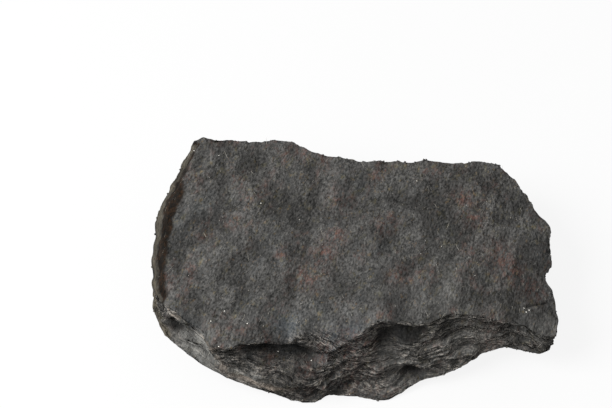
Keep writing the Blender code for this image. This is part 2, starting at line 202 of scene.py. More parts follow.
# Pale dust, partly painted light where faces catch it, on the left facet, along the front and
# at the right: centre, radii and strength
DUST_AND_PAINTED_LIGHT = (
    ((-31.0, -19.4, 9.5), (3.4, 3.4, 3.6), 1.2),
    ((17.7, -7.9, 16.0), (5.0, 8.0, 6.0), 0.12),
    ((23.0, -17.5, 9.0), (16.0, 5.0, 7.0), 0.26),
    ((-39.6, -12.5, 10.5), (1.3, 3.5, 3.0), 0.5),
    ((6.9, -22.8, 5.0), (3.5, 3.0, 6.0), 0.35),
    ((-28.6, -20.6, 12.0), (2.0, 2.4, 5.0), 0.9),
    ((-34.6, -16.6, 9.6), (2.6, 2.6, 2.6), 0.35),
    ((-37.2, -12.4, 15.2), (2.6, 2.4, 1.2), 0.15),
    ((-23.0, -24.4, 6.0), (6.5, 2.6, 2.0), 0.7),
    ((39.2, -17.4, 8.0), (2.5, 2.5, 6.0), 0.4),
)
# Red-brown stain on the top face and the front: x, y, and radius of each soft patch
STAINS = (
    (-2.1, 9.7, 2.4), (-3.4, 1.2, 2.0), (-5.6, -3.1, 2.2), (-9.1, -8.2, 3.0), (5.7, 3.2, 1.8),
    (8.5, -8.1, 2.2), (35.1, -8.7, 2.6), (23.7, 6.4, 2.4), (-24.0, 4.6, 1.8), (-29.4, 1.6, 1.6),
    (-36.2, -9.0, 1.8), (-0.9, -22.0, 2.6), (-9.5, -24.0, 2.0), (-16.5, -22.6, 1.6), (4.6, -23.4, 1.8),
    (27.0, -16.8, 2.6), (29.1, -1.7, 3.2), (31.0, -5.8, 2.4), (21.6, 10.9, 2.2), (-6.0, -21.6, 1.6),
    (-21.6, -20.6, 1.3), (-27.4, 24.9, 1.5), (-24.0, 24.7, 1.2),
)
# Painted bluish sheen at the front edge and on the left facet: x, y and radius of each patch
PAINTED_BLUISH_SHEEN = ((-12.9, -18.9, 2.4), (-4.6, -20.9, 2.4), (-31.6, -21.0, 2.6), (-0.3, -19.6, 1.6))

# Paler and darker stretches: partly the stone's own tone, and partly painted light and shade,
# lighter on the left facet, darker on the nose and in a soft shadow at the front right: x, y,
# radius, and the change from the middle tone
TONES_AND_PAINTED_LIGHT = (
    (36.0, -15.5, 5.0, -0.45), (2.3, -23.0, 5.0, 0.50), (-35.5, -16.0, 3.0, 0.45),
    (30.0, 0.0, 9.0, 0.20), (-20.0, -24.0, 5.0, 0.15), (20.0, -18.5, 8.0, 0.5),
    (16.6, -16.6, 2.6, -0.7), (-9.0, -23.6, 3.6, -0.35), (-3.3, -24.2, 1.6, -0.40),
    (-9.0, 18.2, 1.5, -0.6), (8.1, -0.7, 2.0, -0.5), (4.9, -8.4, 2.2, -0.4),
    (21.5, -6.5, 1.6, -0.5), (27.0, 14.2, 1.4, -0.5), (-14.0, 2.8, 0.9, -0.5),
    (-20.3, 18.4, 1.6, -0.4), (-29.2, 17.8, 1.6, -0.4), (-26.0, -5.5, 8.0, 0.25),
)

RANDOM = np.random.default_rng(12)
SHUFFLE = RANDOM.permutation(256)
SLOPES = RANDOM.normal(size=(256, 3))
SLOPES /= np.linalg.norm(SLOPES, axis=1, keepdims=True)
NOISE_GAIN = 1.7


def noise(points):
    """Gradient noise: at each corner of a point's unit cell a random slope meets the point, and
    the eight results are mixed by a smooth fade. It runs from about -1 to 1."""
    cell = np.floor(points).astype(int)
    part = points - cell
    fade = part**3 * (part * (part * 6 - 15) + 10)
    total = np.zeros(points.shape[:-1])
    for corner in itertools.product((0, 1), repeat=3):
        x, y, z = np.moveaxis((cell + corner) & 255, -1, 0)
        slope = SLOPES[SHUFFLE[(SHUFFLE[(SHUFFLE[x] + y) & 255] + z) & 255]]
        share = np.prod(np.where(corner, fade, 1 - fade), axis=-1)
        total += share * np.sum(slope * (part - corner), axis=-1)
    return NOISE_GAIN * total


def smooth(value):
    """0 below 0, 1 above 1, and 3v^2 - 2v^3 between."""
    value = np.clip(value, 0, 1)
    return value * value * (3 - 2 * value)


def soft_step(way, softness):
    """0 under nought and 1 over it, with a smooth rise between that is as wide as the softness."""
    return smooth(way / softness + 0.5)


def ramp(value, softness):
    """Half of the value plus the root of its square and the softness squared: a bent ramp."""
    return (value + np.sqrt(value**2 + softness**2)) / 2


def spacing(cells):
    """Shares from 0 to 1: even steps less a sine, so they are closer together at both ends."""
    even = np.linspace(0, 1, cells + 1)
    return even - RIM_FINENESS * np.sin(2 * np.pi * even) / (2 * np.pi)


def outline():
    """Sections round the slab, by length along the rim: part straight chords between stations,
    part a Catmull-Rom spline through them. Each side has as many as the top grid has cells."""
    stations = np.array(sum(SIDES, []))
    count = len(stations)
    around = np.vstack([stations, stations[:1]])
    length = np.append(0, np.cumsum(np.linalg.norm(np.diff(around[:, :2], axis=0), axis=1)))
    corners = np.append(0, np.cumsum([len(side) for side in SIDES]))
    cells = (ALONG, ACROSS, ALONG, ACROSS)
    at = np.concatenate([
        length[start] + (length[end] - length[start]) * spacing(steps)[:-1]
        for start, end, steps in zip(corners[:-1], corners[1:], cells)
    ])
    place = np.interp(at, length, np.arange(count + 1))
    index = place.astype(int)
    t = (place - index)[:, None]
    before, here, after, beyond = (stations[(index + step) % count] for step in (-1, 0, 1, 2))
    straight = here + (after - here) * t
    spline = 0.5 * (
        2 * here
        + (after - before) * t
        + (2 * before - 5 * here + 4 * after - beyond) * t**2
        + (3 * here - before - 3 * after + beyond) * t**3
    )
    return straight + (spline - straight) * OUTLINE_CURVE


def outward(ring):
    """Level unit vectors square to the ring's chords over about four and eight millimetres."""
    chord = sum(np.roll(ring, -step, 0) - np.roll(ring, step, 0) for step in (6, 12))
    normal = np.stack([chord[:, 1], -chord[:, 0], np.zeros(len(ring))], axis=1)
    return normal / np.linalg.norm(normal, axis=1, keepdims=True)


def distance_to(ring, points):
    """Level distance from each point to the nearest point of the ring."""
    flat = points.reshape(-1, 3)
    nearest = np.full(len(flat), np.inf)
    for x, y in ring[:, :2]:
        nearest = np.minimum(nearest, (flat[:, 0] - x) ** 2 + (flat[:, 1] - y) ** 2)
    return np.sqrt(nearest).reshape(points.shape[:-1])


def four_sides(ring, along, across):
    """The four sides of a closed ring, each with both of its ends: front and right as they run,
    back and left turned round."""
    ends = np.cumsum((0, along, across, along, across))
    closed = np.append(ring, ring[:1], axis=0)
    front, right, back, left = (closed[a : b + 1] for a, b in zip(ends[:-1], ends[1:]))
    return front, right, back[::-1], left[::-1]


def fill(ring, along, across):
    """A Coons patch in s and t: the mix of front and back by t, plus the mix of left and right
    by s, less the mix of the four corners by both."""
    front, right, back, left = four_sides(ring, along, across)
    s = spacing(along)[None, :, None]
    t = spacing(across)[:, None, None]
    between_long = (1 - t) * front[None] + t * back[None]
    between_short = (1 - s) * left[:, None] + s * right[:, None]
    between_corners = (1 - t) * ((1 - s) * front[0] + s * front[-1]) + t * (
        (1 - s) * back[0] + s * back[-1]
    )
    return between_long + between_short - between_corners


def way_from_left(points, left_rim):
    """Distance from the left rim, plus noise that is nothing at the rim itself."""
    distance = distance_to(left_rim, points)
    wander = LEDGE_WANDER * noise(points * (1, 1, 0) / LEDGE_WANDER_SIZE)
    return distance + wander * smooth(distance / LEDGE_WIDTH)


def cut_depth(points, from_left):
    """How deep the top face cuts into the beds: a roll that grows with the square of the way to
    the front edge, by a bell in x, plus the drop to the left ledge and the ledge's own fall."""
    x, y = points[..., 0], points[..., 1]
    roll = ROLL_RATE * ramp(ROLL_Y - y, 1) ** 2 * np.exp(-(((x - ROLL_X) / ROLL_HALF_WIDTH) ** 2))
    scarp = smooth((from_left - LEDGE_WIDTH) / SCARP_WIDTH)
    return roll + LEDGE_DROP * (1 - scarp) + LEDGE_FALL * smooth(1 - from_left / LEDGE_WIDTH)


def top_height(points, cut):
    """A level plane, less the falls to the right end and the nose and the cut, plus a drifting
    sine wave, noise lumps and flat-topped scabs."""
    x, y = points[..., 0], points[..., 1]
    right = RIGHT_SLOPE * ramp(x - RIDGE_X, RIDGE_SOFTNESS)
    nose = NOSE_SLOPE * ramp(-y, RIDGE_SOFTNESS) * smooth((x - NOSE_START) / NOSE_LENGTH)
    flat = np.stack([x, y, np.zeros_like(x)], axis=-1)
    along = (x * WAVE_HEADING[0] + y * WAVE_HEADING[1]) / WAVE_LENGTH
    wave = WAVE_HEIGHT * np.sin(2 * np.pi * (along + noise(flat / WAVE_DRIFT)))
    lump = TOP_LUMP * noise(flat / TOP_LUMP_SIZE)
    scab = SCAB_HEIGHT * smooth((noise(flat / SCAB_SIZE) - SCAB_LEVEL) / SCAB_EDGE)
    return TOP_HEIGHT - right - nose - cut + wave + lump + scab


def bed_offset(rings, bed):
    """How far a bed stands out: a steep curve of the noise over x and y, in the bed's own layer."""
    points = rings / BED_REACH
    points[..., 2] = BED_SEED * bed[:, None]
    return BED_STEP * np.tanh(BED_CRISPNESS * noise(points))


def side_wall(rim, foot):
    """Rings from rim to foot by the share of the way down: straight sections, plus each bed's
    offset, blended over the treads, less shells that are the size of a noise."""
    count = len(BED_SHARES)
    place = np.linspace(0, count, RINGS + 1)
    bounds = np.append(0, np.cumsum(BED_SHARES)) / sum(BED_SHARES)
    levels = np.interp(place, np.arange(count + 1), bounds)
    rings = rim + (foot - rim) * levels[:, None, None]
    bed = np.floor(place + TREAD)
    share = smooth((place + TREAD - bed) / (2 * TREAD))[:, None]
    above = bed_offset(rings, np.clip(bed - 1, 0, count - 1))
    below = bed_offset(rings, np.clip(bed, 0, count - 1))
    beds = above + (below - above) * share
    shells = SHELL_DEPTH * np.abs(noise(rings / SHELL_SIZE))
    held = smooth(place) * smooth(count - place)
    return rings + outward((rim + foot) / 2) * ((beds - shells) * held[:, None])[..., None], levels


def stepped(height):
    """The height in steps of a bed: a level tread, and a short riser where the next bed ends."""
    beds = height / UNDER_BED
    whole = np.floor(beds)
    riser = soft_step(beds - whole - 0.5, RISER_SHARE)
    return UNDER_BED * (whole + riser)


def underside(foot):
    """The foot's patch, scaled down to level with the distance from the foot, in bed-high steps,
    plus the depth of the patches that came off."""
    points = fill(foot, ALONG // 2, ACROSS // 2)
    inside = distance_to(foot, points)
    held = smooth(inside / FOOT_REACH)
    plain = points[..., 2] * (1 - smooth(inside / UNDERSIDE_REACH))
    steps = stepped(plain + RISER_WANDER * noise(points / RISER_SIZE))
    bare = smooth((noise(points / PATCH_SIZE) - PATCH_LEVEL) / PATCH_EDGE)
    points[..., 2] = plain + (steps - plain + PATCH_DEPTH * bare) * held
    return points


def bell_at(points, centre, radii):
    """A bell of the distance from a centre, measured in radii: e to the minus square of it."""
    return np.exp(-np.sum(((points - centre) / radii) ** 2, axis=-1))


def hollow_out(points):
    """Adds each hollow's push, by a bell round its centre, and sums the bells by how much shade
    is painted in the hollow."""
    dark = np.zeros(len(points))
    for centre, radii, push, painted_shade in HOLLOWS.values():
        bell = bell_at(points, centre, radii)
        points = points + bell[..., None] * push
        dark += painted_shade * bell
    return points, dark


def border(grid):
    """The entries round a grid, counter-clockwise from its first corner."""
    return np.concatenate([grid[0], grid[1:, -1], grid[-1, -2::-1], grid[-2:0:-1, 0]])


def grid_faces(index):
    """The four corners of every cell of a grid of vertex numbers."""
    corners = (index[:-1, :-1], index[:-1, 1:], index[1:, 1:], index[1:, :-1])
    return np.stack([corner.ravel() for corner in corners], axis=1)


def slab_form():
    """The plain form of the slab, centred on the frame: its points, how much shade is painted on
    each in a hollow, its distance from the left rim, its depth in the beds, how torn it is even
    where it lies level, and its faces.

    The top grid's border is the first ring of the wall. Every second point of the last ring is
    the border of the underside's grid, and a thin triangle closes each gap beside it."""
    sections = outline()
    rim = np.insert(sections[:, :2], 2, TOP_HEIGHT, axis=1)
    foot = sections[:, 2:]
    rim += outward(rim) * (RIM_CHIP * noise(rim / RIM_CHIP_SIZE))[:, None]
    left_end = rim[2 * ALONG + ACROSS :]
    left_rim = left_end[int(LEDGE_START * ACROSS) : int(LEDGE_END * ACROSS)]
    rim_cut = cut_depth(rim, way_from_left(rim, left_rim))
    rim[:, 2] = top_height(rim, rim_cut)
    top = fill(rim, ALONG, ACROSS)
    top_from_left = way_from_left(top, left_rim)
    top_cut = cut_depth(top, top_from_left)
    top[..., 2] = top_height(top, top_cut)
    rings, levels = side_wall(rim, foot)
    wall_depth = rim_cut + (STONE_THICKNESS - rim_cut) * levels[:, None]
    bottom = underside(rings[-1, ::2])
    around = len(rim)
    top_index = np.arange(top.shape[0] * top.shape[1]).reshape(top.shape[:2])
    ring_index = top_index.size + np.arange(RINGS * around).reshape(RINGS, around)
    ring_index = np.vstack([border(top_index), ring_index])
    last_ring = ring_index[-1]
    bottom_index = np.zeros(bottom.shape[:2], dtype=int)
    inner = bottom_index[1:-1, 1:-1]
    inner[:] = last_ring[-1] + 1 + np.arange(inner.size).reshape(inner.shape)
    sides = four_sides(last_ring[::2], ALONG // 2, ACROSS // 2)
    bottom_index[0], bottom_index[:, -1], bottom_index[-1], bottom_index[:, 0] = sides
    plain = np.vstack([part.reshape(-1, 3) for part in (top, rings[1:], bottom[1:-1, 1:-1])])
    bottom_depth = np.full(inner.size, STONE_THICKNESS)
    depth = np.concatenate([top_cut.ravel(), wall_depth[1:].ravel(), bottom_depth])
    wall_torn = np.repeat(LEDGE_TORN * smooth(levels[1:] / RIM_BED), around)
    torn = np.concatenate([np.zeros(top_cut.size), wall_torn, np.zeros(inner.size)])
    # How much shade is painted on each point in the hollows
    points, dark = hollow_out(plain)
    points[:, :2] -= MIDDLE
    points[:, 2] = np.maximum(points[:, 2], 0)
    above, below = ring_index[:-1], ring_index[1:]
    wall = np.stack([above, below, np.roll(below, -1, 1), np.roll(above, -1, 1)], axis=-1)
    quads = np.vstack([
        grid_faces(top_index),
        wall.reshape(-1, 4),
        grid_faces(bottom_index)[:, ::-1],
    ])
    gaps = np.stack([last_ring[::2], np.roll(last_ring, -2)[::2], last_ring[1::2]], axis=1)
    from_left = np.full(len(plain), np.inf)
    from_left[: top_from_left.size] = top_from_left.ravel()
    return points, dark, from_left, depth, torn, quads, gaps


def point_normals(points, quads):
    """The sum of the crossed diagonals of the faces at each point, made one unit long."""
    a, b, c, d = (points[quads[:, corner]] for corner in range(4))
    across = np.cross(c - a, d - b)
    total = np.zeros_like(points)
    for corner in range(4):
        np.add.at(total, quads[:, corner], across)
    return total / np.linalg.norm(total, axis=1, keepdims=True)


def bedding_of(points, depth):
    """The bed that each point lies in, as a height: the depth turned over, plus slow noise, plus
    a smooth sag to the right of the recess, which dies out towards the back and with the square
    of the way down to the foot."""
    drift = WARP * noise(points / WARP_SIZE)
    sag = smooth((points[:, 0] - SAG_START) / SAG_LENGTH)
    held = smooth((SAG_BACK - points[:, 1]) / SAG_DEPTH)
    fade = (1 - depth / STONE_THICKNESS) ** 2
    return SAG * sag * held * fade + drift - depth


def way_to(points, corners):
    """Distance from each point to the nearest stretch of the line through the corners."""
    corners = np.array(corners)
    nearest = np.full(len(points), np.inf)
    for start, end in zip(corners[:-1], corners[1:]):
        along = end - start
        share = np.clip((points - start) @ along / (along @ along), 0, 1)
        nearest = np.minimum(nearest, np.sum((points - start - share[:, None] * along) ** 2, axis=1))
    return np.sqrt(nearest)


def waves(way, spacing):
    """Half plus half the cosine of the way: 1 at each line, and 0 between two."""
    return 0.5 + 0.5 * np.cos(2 * np.pi * way / spacing)


def pale_edges_and_highlight(points, depth):
    """A bell of the depth in the beds between the lamina's ends, and waves of the way to the
    facet's edge, which wanders by a noise. The facet's edge is partly a painted highlight."""
    start, end = RIDGE_ENDS
    pale_ridge_and_highlight = np.exp(-(((depth - RIDGE_DEPTH) / RIDGE_HALF) ** 2))
    pale_ridge_and_highlight *= smooth((points[:, 0] - start) / RIDGE_FADE) * smooth((end - points[:, 0]) / RIDGE_FADE)
    pale_ridge_and_highlight *= smooth((RIDGE_END_Y - points[:, 1]) / RIDGE_FADE_Y)
    wander = EDGE_WANDER * noise(points / EDGE_WANDER_SIZE)
    way = np.minimum(way_to(points + wander[:, None], FACET_EDGE), 2 * EDGE_HALF)
    lines = 1 - EDGE_CONTRAST * (1 - waves(way, EDGE_LINES))
    return np.maximum(pale_ridge_and_highlight, lines * soft_step(EDGE_HALF - way, EDGE_SOFTNESS))


def ledge_width(y):
    """The least width, plus a bell of y."""
    return STRIP_WIDTH + STRIP_BULGE * np.exp(-(((y - STRIP_MIDDLE) / STRIP_HALF) ** 2))


def scarp_coat(points, from_left):
    """Full from the ledge up to the coat's width: a flat bell of y, plus the bell of the lobe."""
    y = points[:, 1]
    start = ledge_width(y)
    flat_bell = np.exp(-(((y - COAT_MIDDLE) / COAT_HALF) ** 4))
    width = COAT_WIDTH * (COAT_LEAST + (1 - COAT_LEAST) * flat_bell)
    width += LOBE_WIDTH * np.exp(-(((y - LOBE_MIDDLE) / LOBE_HALF) ** 2))
    lower = soft_step(from_left - start, STRIP_SOFTNESS)
    return lower * soft_step(start + width - from_left, COAT_SOFTNESS)


def ledge_lines(points, from_left):
    """Waves of the way to the ledge's inner side: on the ledge, its pale laminae, and the shade
    painted in the gaps between them. The way is held at -1, because on the walls it has no end."""
    way = np.maximum(ledge_width(points[:, 1]) - from_left, -1)
    wave = waves(way, STRIP_LINES)
    on_ledge = soft_step(way, STRIP_SOFTNESS)
    return on_ledge * (1 + wave) / 2, on_ledge * (1 - wave)


def steepness(normals, least_torn, black, dust_and_painted_light, from_left):
    """How torn the stone is: by how far it is from level, or by its bed in the wall, less where
    shade is painted black in the hollows and under the dust and painted light, and not at all
    near the left rim."""
    steep = np.maximum(smooth((TORN_FROM - np.abs(normals[:, 2])) / TORN_RANGE), least_torn)
    kept = (1 - SMOOTH_IN_PAINTED_SHADE * black) * (1 - SMOOTH_IN_DUST_AND_LIGHT * dust_and_painted_light)
    return steep * kept * smooth((from_left - SMOOTH_LEFT) / SMOOTH_LEFT_EDGE)


def slab_relief(points, bedding, steep):
    """Height of the fine surface over the plain form, along its normals, and how high it lies,
    which the material turns into painted shade in the low spots.
    On steep places, wherever a noise in flat lenses is under nought there is a gap, and the edge
    where it passes nought stands out. Everywhere, streaked noise adds grain, and flakes lie lower
    wherever another noise is over a level."""
    beds = np.column_stack([points[:, :2], bedding])
    torn = np.zeros(len(points))
    for length, thickness, gap, edge in LENSES:
        lens = noise(beds / (length, length, thickness) + length)
        torn += edge * np.exp(-((lens / LENS_EDGE) ** 2)) - gap * smooth(-lens / LENS_GAP)
    across = points[:, 0] * STREAK_HEADING[1] - points[:, 1] * STREAK_HEADING[0]
    along = points[:, 0] * STREAK_HEADING[0] + points[:, 1] * STREAK_HEADING[1]
    streaks = np.column_stack([across, along / STREAK_STRETCH, points[:, 2]])
    grain = sum(height * noise(streaks / size) for size, height in GRAIN)
    for size, depth in FLAKES:
        grain -= depth * smooth((noise(streaks / size + size) - FLAKE_LEVEL) / FLAKE_EDGE)
    relief = steep * torn + (1 - GRAIN_LOSS * steep) * grain
    return relief, np.clip(0.5 + grain / HIGH_GRAIN + steep * torn / HIGH_TORN, 0, 1)


def patches(points, spots):
    """The sum of a bell at each spot, at most one."""
    return np.minimum(sum(bell_at(points[:, :2], (x, y), radius) for x, y, radius in spots), 1)


def tone_and_painted_light_of(points):
    """Half, plus a bell at each paler or darker stretch, some of them painted light or shade."""
    changes = sum(
        change * bell_at(points[:, :2], (x, y), radius) for x, y, radius, change in TONES_AND_PAINTED_LIGHT
    )
    return np.clip(0.5 + changes, 0, 1)


def new_mesh(name, points, faces):
    """A mesh from points in millimetres and the point numbers of its faces."""
    mesh = bpy.data.meshes.new(name)
    mesh.from_pydata((points.reshape(-1, 3) * MM).tolist(), [], faces)
    return mesh


def put_masks(mesh, masks):
    """Gives a mesh one number at each point for each named mask."""
    for name, values in masks.items():
        layer = mesh.attributes.new(name, "FLOAT", "POINT")
        layer.data.foreach_set("value", values.astype(np.float32))


def slab_mesh():
    """The whole surface: the plain form, moved along its normals by the fine relief and, by a
    bell of the level distance, into the crack, and level where it rests."""
    points, dark, from_left, depth, least_torn, quads, gaps = slab_form()
    normals = point_normals(points, quads)
    bedding = bedding_of(points, depth)
    # Where the shade painted in the hollows turns black
    black = smooth((dark - PAINTED_SHADE_FROM) / PAINTED_SHADE_RANGE)
    dust_and_painted_light = sum(strength * bell_at(points, centre, radii) for centre, radii, strength in DUST_AND_PAINTED_LIGHT)
    dust_and_painted_light = np.minimum(dust_and_painted_light, 1)
    steep = steepness(normals, least_torn, black, dust_and_painted_light, from_left)
    relief, high = slab_relief(points, bedding, steep)
    crack = np.exp(-((way_to(points[:, :2], CRACK) / CRACK_HALF) ** 2))
    laminae, ledge_gap_shade = ledge_lines(points, from_left)
    foot_way = way_to(points, FACET_FOOT)
    points = points + normals * (relief - CRACK_DEPTH * crack)[:, None]
    points[:, 2] = np.maximum(points[:, 2], 0)
    masks = {
        "steep": steep,
        # How high the relief lies: the material paints shade in its low spots
        "high": high,
        "bedding": bedding * MM,
        # The stone's tone, with painted light and shade on some stretches
        "tone_and_painted_light": tone_and_painted_light_of(points),
        # Painted shade in the hollows, the crack and the gaps between the ledge's laminae
        "dark": np.clip(black + CRACK_PAINTED_SHADE * crack + STRIP_GAP_SHADE * ledge_gap_shade, 0, 1),
        "scarp": scarp_coat(points, from_left),
        "ledge": np.maximum(laminae, soft_step(FOOT_HALF - foot_way, FOOT_SOFTNESS)),
        "stain": patches(points, STAINS),
        # Patches of painted bluish sheen
        "painted_bluish_sheen": patches(points, PAINTED_BLUISH_SHEEN),
        # Pale dust, partly painted light where faces catch it
        "dust_and_painted_light": dust_and_painted_light,
        # Pale torn edges, partly a painted highlight along the facet's ridge
        "pale_ridge_and_highlight": pale_edges_and_highlight(points, depth),
    }
    mesh = new_mesh("navajoite_stone", points, quads.tolist() + gaps.tolist())
    put_masks(mesh, masks)
    mesh.shade_smooth()
    return mesh, points, quads, masks


def linear(hex_colour):
    """An sRGB colour, written as six hex digits, in linear light with alpha 1."""
    shares = [int(hex_colour[at : at + 2], 16) / 255 for at in (0, 2, 4)]
    curve = [s / 12.92 if s <= 0.04045 else ((s + 0.055) / 1.055) ** 2.4 for s in shares]
    return (*curve, 1.0)


def fit(node, settings):
    """Puts settings on a node: on an input, by its name or number, or on the node itself where no
    input has the name. A setting that is another node's output is linked to the input."""
    for name, value in settings.items():
        if isinstance(value, bpy.types.NodeSocket):
            node.id_data.links.new(value, node.inputs[name])
        elif isinstance(name, int) or name in node.inputs:
            node.inputs[name].default_value = value
        else:
            setattr(node, name, value)


def add_node(tree, kind, settings, output=0):
    """Adds a node of a kind to a tree, with its settings and links, and gives one output of it."""
    node = tree.nodes.new(kind)
    fit(node, settings)
    return node.outputs[output]


def new_material(name):
    """A new material, and the shader in it."""
    material = bpy.data.materials.new(name)
    material.use_nodes = True
    return material, material.node_tree.nodes["Principled BSDF"]


# Patterns of the ore: size in millimetres, detail, and the noise values that give 0 and 1
ORE_PATTERNS = {
    "sand": (0.42, 1.0, 0.33, 0.67),
    "lumps": (1.5, 2.0, 0.33, 0.67),
    "mottling": (5.5, 3.0, 0.36, 0.64),
    "clouds": (16.0, 1.0, 0.40, 0.62),
    "pale grains": (0.62, 1.0, 0.62, 0.72),
    "dark grains": (0.95, 1.0, 0.60, 0.72),
    "rust grains": (0.9, 3.0, 0.46, 0.64),
    "rust clouds": (6.0, 3.0, 0.53, 0.70),
    "olive grains": (1.6, 3.0, 0.56, 0.68),
    "ochre grains": (0.8, 2.0, 0.62, 0.72),
    # A painted bluish sheen, in clouds
    "painted sheen clouds": (8.0, 3.0, 0.54, 0.70),
}
PATTERN_ROUGHNESS = 0.85
# Laminae as a noise in flat lenses that follow the bedding, and the noise values where their
# pale edge, partly a painted highlight, and the shade painted in the gap under it begin, peak
# and end
LAMINA_LENGTH, LAMINA_THICKNESS = 2.4, 0.40
LAMINA_DETAIL, LAMINA_ROUGHNESS = 3.0, 0.5
LAMINA_BANDS = {"pale edge and painted highlight": (0.50, 0.53, 0.58), "painted gap shade": (-1.0, 0.38, 0.46)}
# Where a layer shows: laminae on the torn walls, rust and the scarp's crust in the rust grains
LIMITS = {"laminae": "steep", "pale edge and painted highlight": "steep", "painted gap shade": "steep"}
LIMITS |= {"rust": "rust grains", "crust": "rust grains"}
# The darkest sand, and the coats over it in their order: where each lies, how strong it is, and
# its colour
DARK_SAND = "272726"
COATS = (
    ("sand", 1.0, "61605e"),
    ("lumps", 0.40, "585755"),
    ("mottling", 0.20, "2d2d2d"),
    ("clouds", 0.10, "505151"),
    # Painted bluish sheen, in clouds and in the mesh's patches
    ("painted sheen clouds", 0.20, "494f52"),
    ("painted_bluish_sheen", 0.28, "4b5761"),
    ("dark grains", 0.34, "181817"),
    ("pale grains", 0.26, "898882"),
    ("olive grains", 0.30, "6a664a"),
    ("ochre grains", 0.24, "8a6e50"),
    ("rust", 0.50, "764e42"),
    # Painted shade in the gaps under the laminae, and their pale edges, partly a painted highlight
    ("painted gap shade", 0.72, "171513"),
    ("pale edge and painted highlight", 0.85, "a59e95"),
    # Pale dust, partly painted light, and pale torn edges, partly a painted highlight
    ("dust_and_painted_light", 0.55, "9b9a95"),
    ("pale_ridge_and_highlight", 0.62, "a4978a"),
    ("ledge", 0.65, "665f50"),
    ("scarp", 0.94, "15110d"),
    ("crust", 0.45, "45301f"),
)
# What the colour is multiplied by where a mask is 0 and where it is 1: painted shade in the low
# spots of the relief, so the high spots are paler, painted shade in the hollows, the crack and
# the gaps, and the tone, which holds painted light and shade as well as the stone's own tone
SHADES = (("high", "a6a6a6", "ffffff"), ("dark", "ffffff", "787878"), ("tone_and_painted_light", "bababa", "f6f6f6"))
# How far the laminae stand out on the walls, and single grains everywhere, in the shading
LAMINA_RELIEF, GRAIN_RELIEF = 0.6, 0.26


def vanadium_ore(mask_names):
    """Sandstone soaked with dark vanadium minerals, as broken: dull, nearly black between pale
    grains, with rust-brown stains and dusty edges. Light and shade are also painted into its
    colour: paler on faces that catch the light and on the laminae's edges, shade in the low
    spots, hollows, crack and gaps, and a painted bluish sheen. Its roughness leaves no gloss,
    only a faint sheen on the faces that catch the light."""
    material, shader = new_material("vanadium_ore_as_broken")
    tree = material.node_tree
    place = add_node(tree, "ShaderNodeTexCoord", {}, "Object")
    layers = {
        name: add_node(tree, "ShaderNodeAttribute", {"attribute_name": name}, "Fac")
        for name in mask_names
    }
    # Patterns drawn out along the streaks of the split face
    turn = (0, 0, -math.atan2(*STREAK_HEADING))
    streaks = {"vector_type": "TEXTURE", "Rotation": turn, "Scale": (1, STREAK_STRETCH, 1)}
    streaks = add_node(tree, "ShaderNodeMapping", {**streaks, "Vector": place})
    for name, (size, detail, low, high) in ORE_PATTERNS.items():
        grain = {"Scale": 1 / (size * MM), "Detail": detail, "Roughness": PATTERN_ROUGHNESS}
        drawn = add_node(tree, "ShaderNodeTexNoise", {**grain, "Vector": streaks})
        spread = {"From Min": low, "From Max": high, "Value": drawn}
        layers[name] = add_node(tree, "ShaderNodeMapRange", spread)
    # A middle value of the laminae draws their pale edge, partly a painted highlight, and the
    # lower ones the shade painted in the gap under it
    x, y, _ = add_node(tree, "ShaderNodeSeparateXYZ", {0: place}).node.outputs
    flattening = {"operation": "MULTIPLY", 0: layers["bedding"], 1: LAMINA_LENGTH / LAMINA_THICKNESS}
    flattened = add_node(tree, "ShaderNodeMath", flattening)
    beds = add_node(tree, "ShaderNodeCombineXYZ", {0: x, 1: y, 2: flattened})
    grain = {"Scale": 1 / (LAMINA_LENGTH * MM), "Detail": LAMINA_DETAIL, "Roughness": LAMINA_ROUGHNESS}
    laminae = add_node(tree, "ShaderNodeTexNoise", {**grain, "Vector": beds})
    layers["laminae"] = laminae
    for name, (start, peak, end) in LAMINA_BANDS.items():
        rise = add_node(tree, "ShaderNodeMapRange", {"From Min": start, "From Max": peak, 0: laminae})
        fall = add_node(tree, "ShaderNodeMapRange", {"From Min": end, "From Max": peak, 0: laminae})
        layers[name] = add_node(tree, "ShaderNodeMath", {"operation": "MULTIPLY", 0: rise, 1: fall})
    # Rust shows in the mesh's stains and in clouds of its own
    stained = {"operation": "MAXIMUM", 0: layers["stain"], 1: layers["rust clouds"]}
    layers["rust"] = add_node(tree, "ShaderNodeMath", stained)
    layers["crust"] = layers["scarp"]
    for name, limit in LIMITS.items():
        product = {"operation": "MULTIPLY", 0: layers[name], 1: layers[limit]}
        layers[name] = add_node(tree, "ShaderNodeMath", product)
    colour = linear(DARK_SAND)
    for name, strength, hex_colour in COATS:
        thinned = {"operation": "MULTIPLY", 1: strength, 0: layers[name]}
        weight = add_node(tree, "ShaderNodeMath", thinned)
        coat = {"data_type": "RGBA", 7: linear(hex_colour), 0: weight, 6: colour}
        colour = add_node(tree, "ShaderNodeMix", coat, 2)
    for name, low, high in SHADES:
        between = {"data_type": "RGBA", 6: linear(low), 7: linear(high), 0: layers[name]}
        shade = add_node(tree, "ShaderNodeMix", between, 2)
        shaded = {"data_type": "RGBA", "blend_type": "MULTIPLY", 0: 1.0, 6: colour, 7: shade}
        colour = add_node(tree, "ShaderNodeMix", shaded, 2)
    torn = {"Distance": LAMINA_RELIEF * MM, "Height": layers["laminae"]}
    torn = add_node(tree, "ShaderNodeBump", torn)
    grainy = {"Distance": GRAIN_RELIEF * MM, "Height": layers["lumps"], "Normal": torn}
    normal = add_node(tree, "ShaderNodeBump", grainy)
    fit(shader, {"Base Color": colour, "Normal": normal})
    fit(shader, {"Roughness": 0.85, "Specular IOR Level": 0.05})
    return material


def put_in_scene(data):
    """An object at the origin for a mesh, a lamp or a camera, with the same name."""
    thing = bpy.data.objects.new(data.name, data)
    bpy.context.scene.collection.objects.link(thing)
    return thing


